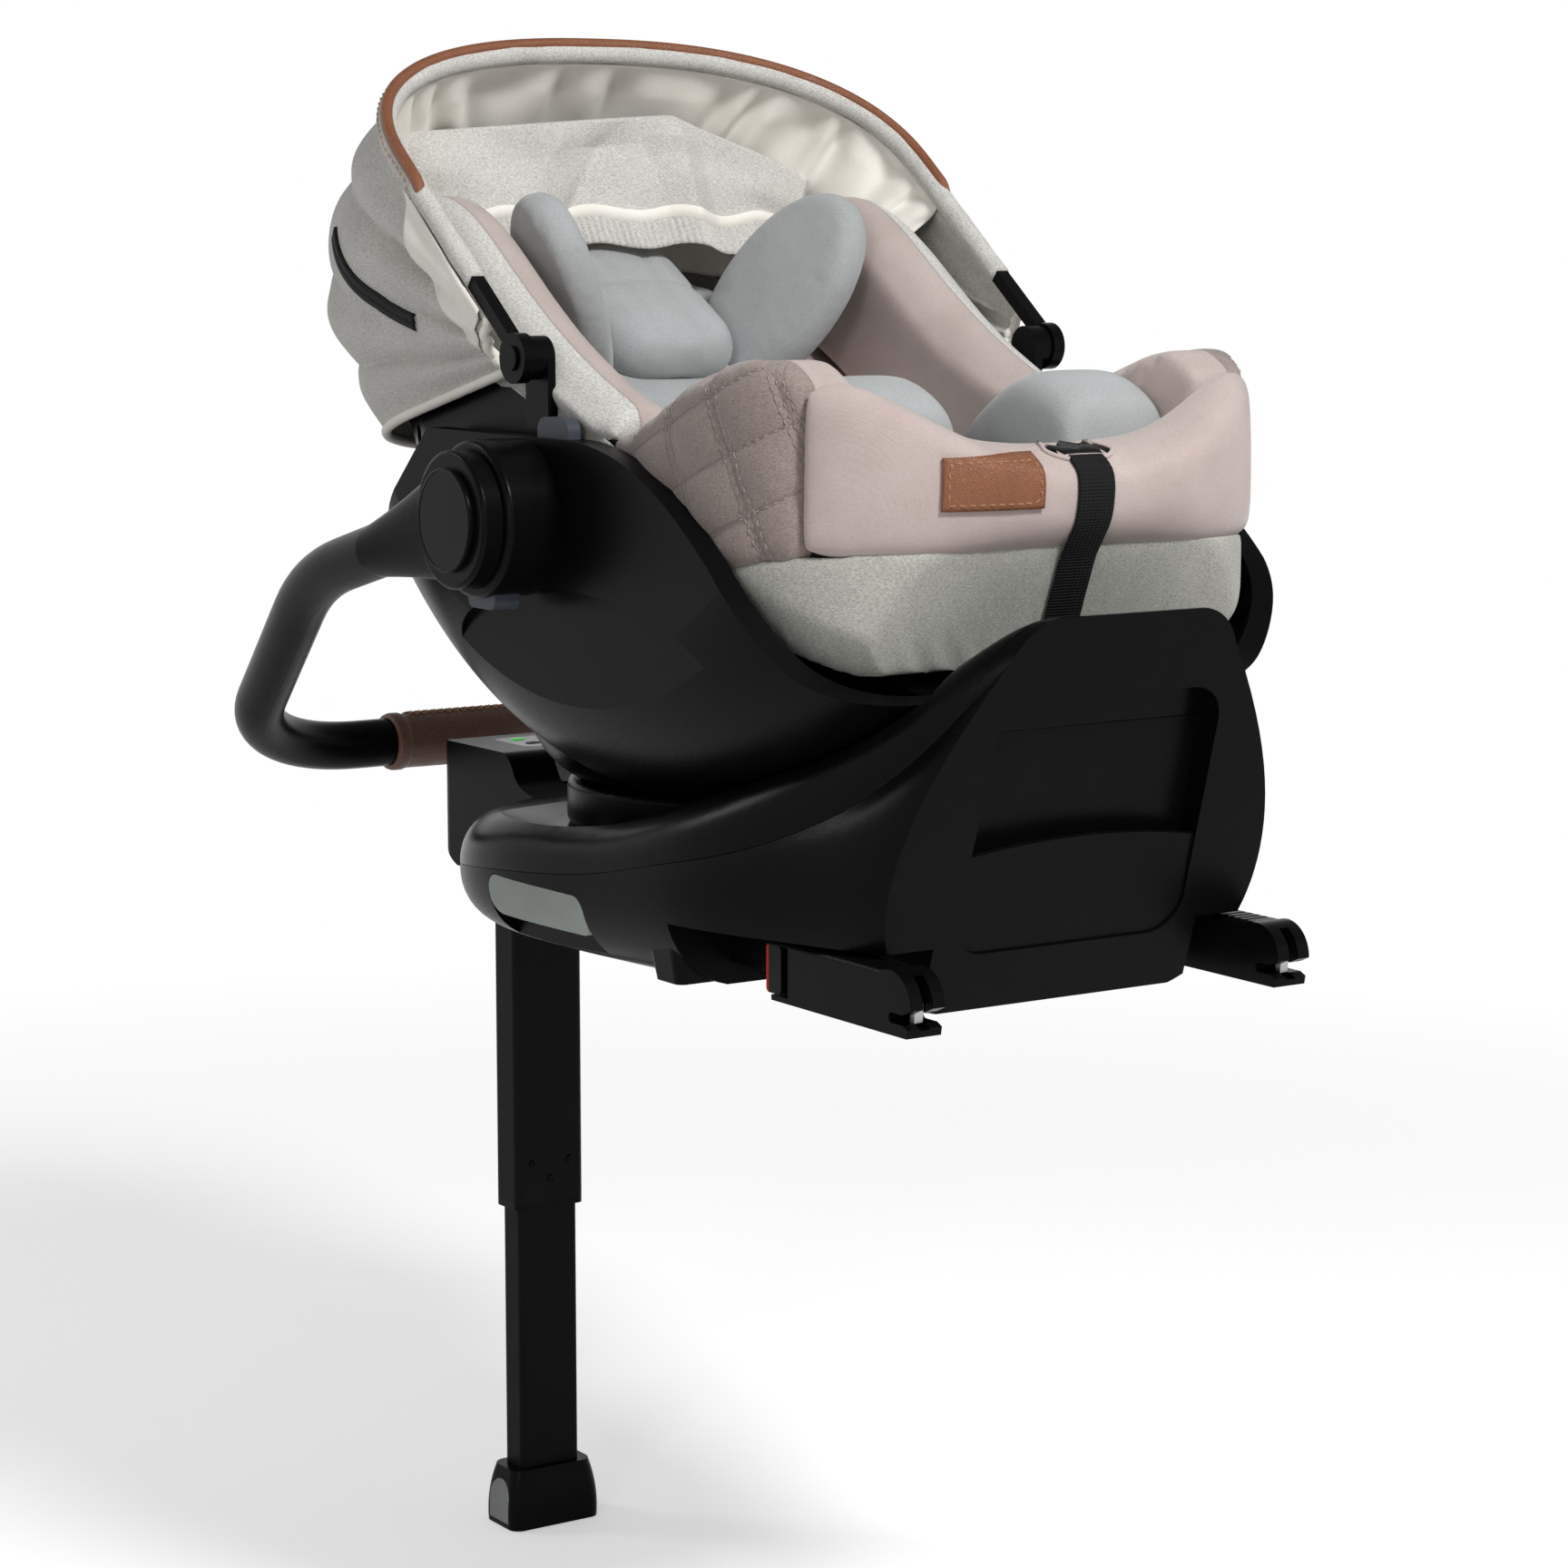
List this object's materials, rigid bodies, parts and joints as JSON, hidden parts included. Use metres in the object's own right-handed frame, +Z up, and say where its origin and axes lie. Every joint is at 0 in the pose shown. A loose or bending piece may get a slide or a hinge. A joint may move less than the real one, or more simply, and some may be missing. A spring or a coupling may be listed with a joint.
{
  "type": "infant car seat",
  "caption": "Infant carrier with padded bucket, folding canopy and turning carry handle on a swivelling base with anchor arms and a telescopic support leg.",
  "frame": {"origin": "centre of the support foot's sole", "axes": "+Z up, +X towards the anchor arms and the car's backrest, +Y the child's left"},
  "size_m": [0.8314, 0.5378, 1.1054],
  "materials": {
    "shell_black": "satin",
    "shell_deck": "satin",
    "bearing": "satin",
    "button_grey": "matt",
    "button_slate": "matt",
    "cap_black": "gloss",
    "indicator_black": "gloss",
    "steel": "brushed",
    "leg_charcoal": "satin",
    "leg_plastic": "matt",
    "marker_grey": "matt",
    "button_red": "satin",
    "leather_brown": "matt",
    "leather_tan": "matt",
    "foam": "matt",
    "cloth_grey": "woven",
    "cloth_pink": "jersey",
    "cloth_taupe": "quilted",
    "cloth_blue": "jersey",
    "webbing": "woven",
    "bow_plastic": "satin"
  },
  "bodies": {
    "base": {"base_lower_shell": "shell_black", "base_upper_shell": "shell_deck", "rear_pocket_panel": "shell_black", "rear_bottom_cover": "shell_black", "bearing_race": "bearing", "front_housing": "shell_black", "leg_hinge_pin": "steel", "indicator_panel": "indicator_black"},
    "side_button_left": {"side_button_left": "button_grey"},
    "side_button_right": {"side_button_right": "button_grey"},
    "seat_release_button": {"seat_release_button": "button_grey"},
    "leg": {"leg_outer_tube": "leg_charcoal", "leg_collar": "leg_plastic"},
    "leg_height_button": {"leg_height_button": "button_grey"},
    "leg_lower": {"leg_inner_tube": "leg_charcoal", "leg_foot": "leg_plastic", "foot_markers": "marker_grey"},
    "anchor_left": {"anchor_arm_left": "shell_black"},
    "anchor_right": {"anchor_arm_right": "shell_black"},
    "claw_left": {"anchor_claw_left": "steel"},
    "claw_right": {"anchor_claw_right": "steel"},
    "anchor_button_left": {"anchor_button_left": "button_red"},
    "anchor_button_right": {"anchor_button_right": "button_red"},
    "carrier": {"turntable": "shell_black", "outer_shell": "shell_black", "hub_left": "shell_black", "hub_right": "shell_black", "hub_cap_left": "cap_black", "hub_cap_right": "cap_black"},
    "release_lever_left": {"release_lever_left": "button_slate"},
    "release_lever_right": {"release_lever_right": "button_slate"},
    "handle": {"handle_bow": "shell_black", "handle_grip": "leather_brown"},
    "handle_button_left": {"handle_button_left": "button_slate"},
    "handle_button_right": {"handle_button_right": "button_slate"},
    "seat": {"inner_shell": "shell_black", "seat_foam": "foam", "seat_cover": "cloth_grey", "back_bolster_left": "cloth_pink", "back_bolster_right": "cloth_pink", "foot_bolster": "cloth_pink", "quilt_corner_left": "cloth_taupe", "quilt_corner_right": "cloth_taupe", "insert_pad": "cloth_blue", "leg_pad_left": "cloth_blue", "leg_pad_right": "cloth_blue", "harness_straps": "webbing", "shoulder_pads": "cloth_blue", "crotch_strap": "webbing", "buckle": "shell_black", "adjuster_strap": "webbing", "canopy_pivots": "shell_black"},
    "buckle_button": {"buckle_button": "button_red"},
    "headrest": {"headrest_frame": "shell_black", "headrest_pad": "cloth_blue", "headrest_wing_left": "cloth_blue", "headrest_wing_right": "cloth_blue"},
    "canopy": {"canopy_bow": "bow_plastic", "canopy_fabric": "cloth_grey", "canopy_trim": "leather_tan"}
  },
  "joints": [
    {"name": "swivel", "type": "hinge", "parent": "base", "child": "carrier", "pos_m": [0.285, 0, 0.59], "axis": [0, 0, 1], "range_deg": [-90, 90]},
    {"name": "recline", "type": "hinge", "parent": "carrier", "child": "seat", "pos_m": [0.395, 0, 1.005], "axis": [0, 1, 0], "range_deg": [0, 10]},
    {"name": "handle_turn", "type": "hinge", "parent": "carrier", "child": "handle", "pos_m": [0.345, 0, 0.795], "axis": [0, 1, 0], "range_deg": [0, 115]},
    {"name": "canopy_turn", "type": "hinge", "parent": "seat", "child": "canopy", "pos_m": [0.343, 0, 0.895], "axis": [0, 1, 0], "range_deg": [0, 45]},
    {"name": "headrest_lift", "type": "slide", "parent": "seat", "child": "headrest", "axis": [-0.866, 0, 0.5], "range_m": [0, 0.06]},
    {"name": "leg_fold", "type": "hinge", "parent": "base", "child": "leg", "pos_m": [0, 0, 0.535], "axis": [0, -1, 0], "range_deg": [0, 88]},
    {"name": "leg_extend", "type": "slide", "parent": "leg", "child": "leg_lower", "axis": [0, 0, -1], "range_m": [-0.1, 0.05]},
    {"name": "leg_button_press", "type": "slide", "parent": "leg", "child": "leg_height_button", "axis": [0, 0, 1], "range_m": [0, 0.008], "stiffness_N_per_m": 400},
    {"name": "anchor_slide_left", "type": "slide", "parent": "base", "child": "anchor_left", "axis": [1, 0, 0], "range_m": [-0.055, 0]},
    {"name": "anchor_button_press_left", "type": "slide", "parent": "anchor_left", "child": "anchor_button_left", "axis": [1, 0, 0], "range_m": [0, 0.008], "stiffness_N_per_m": 400},
    {"name": "claw_turn_left", "type": "hinge", "parent": "anchor_left", "child": "claw_left", "pos_m": [0.6551, 0.14, 0.535], "axis": [0, -1, 0], "range_deg": [0, 26]},
    {"name": "side_button_press_left", "type": "slide", "parent": "base", "child": "side_button_left", "axis": [0, -1, 0], "range_m": [0, 0.005], "stiffness_N_per_m": 400},
    {"name": "lever_press_left", "type": "slide", "parent": "carrier", "child": "release_lever_left", "axis": [0, 0, -1], "range_m": [0, 0.004], "stiffness_N_per_m": 400},
    {"name": "handle_button_press_left", "type": "slide", "parent": "carrier", "child": "handle_button_left", "axis": [0, 0, 1], "range_m": [0, 0.004], "stiffness_N_per_m": 400},
    {"name": "anchor_slide_right", "type": "slide", "parent": "base", "child": "anchor_right", "axis": [1, 0, 0], "range_m": [-0.055, 0]},
    {"name": "anchor_button_press_right", "type": "slide", "parent": "anchor_right", "child": "anchor_button_right", "axis": [1, 0, 0], "range_m": [0, 0.008], "stiffness_N_per_m": 400},
    {"name": "claw_turn_right", "type": "hinge", "parent": "anchor_right", "child": "claw_right", "pos_m": [0.6551, -0.14, 0.535], "axis": [0, -1, 0], "range_deg": [0, 26]},
    {"name": "side_button_press_right", "type": "slide", "parent": "base", "child": "side_button_right", "axis": [0, 1, 0], "range_m": [0, 0.005], "stiffness_N_per_m": 400},
    {"name": "lever_press_right", "type": "slide", "parent": "carrier", "child": "release_lever_right", "axis": [0, 0, -1], "range_m": [0, 0.004], "stiffness_N_per_m": 400},
    {"name": "handle_button_press_right", "type": "slide", "parent": "carrier", "child": "handle_button_right", "axis": [0, 0, 1], "range_m": [0, 0.004], "stiffness_N_per_m": 400},
    {"name": "release_press", "type": "slide", "parent": "base", "child": "seat_release_button", "axis": [-1, 0, 0], "range_m": [0, 0.004], "stiffness_N_per_m": 400},
    {"name": "buckle_press", "type": "slide", "parent": "seat", "child": "buckle_button", "axis": [-0.5, 0, -0.866], "range_m": [0, 0.003], "stiffness_N_per_m": 400}
  ],
  "couplings": [
    {"joint": "claw_turn_left", "follows": "anchor_button_press_left", "rad_per_m": 55},
    {"joint": "claw_turn_right", "follows": "anchor_button_press_right", "rad_per_m": 55}
  ]
}
